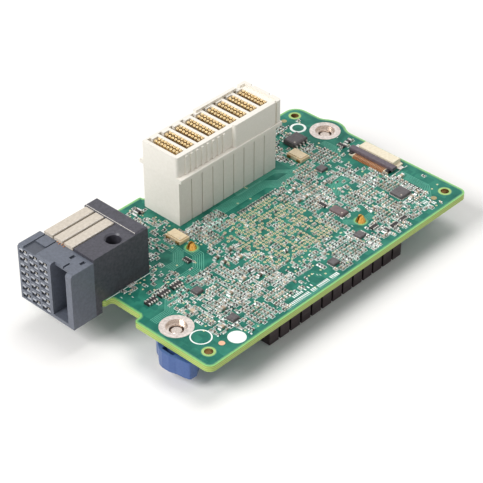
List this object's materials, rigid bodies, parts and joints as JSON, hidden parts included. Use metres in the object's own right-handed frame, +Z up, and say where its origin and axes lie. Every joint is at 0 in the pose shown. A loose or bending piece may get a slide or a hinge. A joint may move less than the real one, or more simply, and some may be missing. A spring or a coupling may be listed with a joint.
{
  "type": "fibre channel host bus adapter",
  "caption": "Flat circuit card with a tall board-to-board connector, an edge connector block, a flat-cable socket, a finned heatsink below and captive screws in blue finger grips.",
  "frame": {"origin": "middle of the card in plan, on the plane of the heatsink's fin tips", "axes": "+X along the board from the edge connector to the flat-cable socket, +Y from the front edge to the board-to-board connector, +Z up from the heatsink to the component side"},
  "size_m": [0.1048, 0.0582, 0.0306],
  "materials": {
    "solder_mask": "satin teal mask over glass fibre",
    "tinned_pad": "dull tin",
    "beige_plastic": "matte moulded",
    "gold_contact": "gold flash",
    "grey_plastic": "matte moulded",
    "black_plastic": "satin moulded",
    "pale_plastic": "matte moulded",
    "cream_plastic": "matte moulded",
    "lever_plastic": "satin moulded",
    "chip_epoxy": "matte moulded",
    "thermal_pad": "soft pad",
    "dark_anodised": "dark anodised",
    "brass_pin": "turned",
    "spring_wire": "drawn wire",
    "plated_steel": "nickel plated",
    "blue_plastic": "satin moulded",
    "cream_lid": "smooth",
    "capacitor_body": "smooth",
    "resistor_body": "smooth"
  },
  "bodies": {
    "card": {"circuit_board": "solder_mask", "screw_pads": "tinned_pad", "cable_tabs": "tinned_pad", "edge_tails": "tinned_pad", "memory_leads": "tinned_pad", "mezzanine_wafers": "beige_plastic", "mezzanine_shroud": "beige_plastic", "mezzanine_contacts": "gold_contact", "front_contacts": "gold_contact", "cable_contacts": "gold_contact", "front_housing": "grey_plastic", "guide_block": "black_plastic", "rear_bar": "black_plastic", "edge_wafers": "pale_plastic", "cable_housing": "cream_plastic", "memory_chip": "chip_epoxy", "regulator_chip": "chip_epoxy", "power_chip": "chip_epoxy", "small_chips": "chip_epoxy", "resistor_arrays": "chip_epoxy", "controller_chip": "chip_epoxy", "thermal_pad": "thermal_pad", "heatsink": "dark_anodised", "push_pins": "brass_pin", "push_pin_springs": "spring_wire", "screw_ferrules": "plated_steel", "screw_grips": "blue_plastic", "oscillators": "cream_lid", "chip_capacitors": "capacitor_body", "bulk_capacitors": "capacitor_body", "chip_resistors": "resistor_body"},
    "front_spring": {"front_screw_spring": "spring_wire"},
    "front_screw": {"front_captive_screw": "plated_steel"},
    "rear_spring": {"rear_screw_spring": "spring_wire"},
    "rear_screw": {"rear_captive_screw": "plated_steel"},
    "lever": {"cable_lever": "lever_plastic"}
  },
  "joints": [
    {"name": "front_screw_push", "type": "slide", "parent": "card", "child": "front_spring", "axis": [0, 0, 1], "range_m": [0, 0.0032], "stiffness_N_per_m": 100, "springref_m": -0.001, "deforming": ["front_screw_spring"]},
    {"name": "front_screw_turn", "type": "hinge", "parent": "front_spring", "child": "front_screw", "pos_m": [-0.0381, -0.01332, 0.0003], "axis": [0, 0, 1], "continuous": true},
    {"name": "rear_screw_push", "type": "slide", "parent": "card", "child": "rear_spring", "axis": [0, 0, 1], "range_m": [0, 0.0032], "stiffness_N_per_m": 100, "springref_m": -0.001, "deforming": ["rear_screw_spring"]},
    {"name": "rear_screw_turn", "type": "hinge", "parent": "rear_spring", "child": "rear_screw", "pos_m": [0.04564, 0.01513, 0.0003], "axis": [0, 0, 1], "continuous": true},
    {"name": "cable_lever_flip", "type": "hinge", "parent": "card", "child": "lever", "pos_m": [0.04381, -0.00315, 0.0115], "axis": [0, 1, 0], "range_deg": [0, 95]}
  ]
}
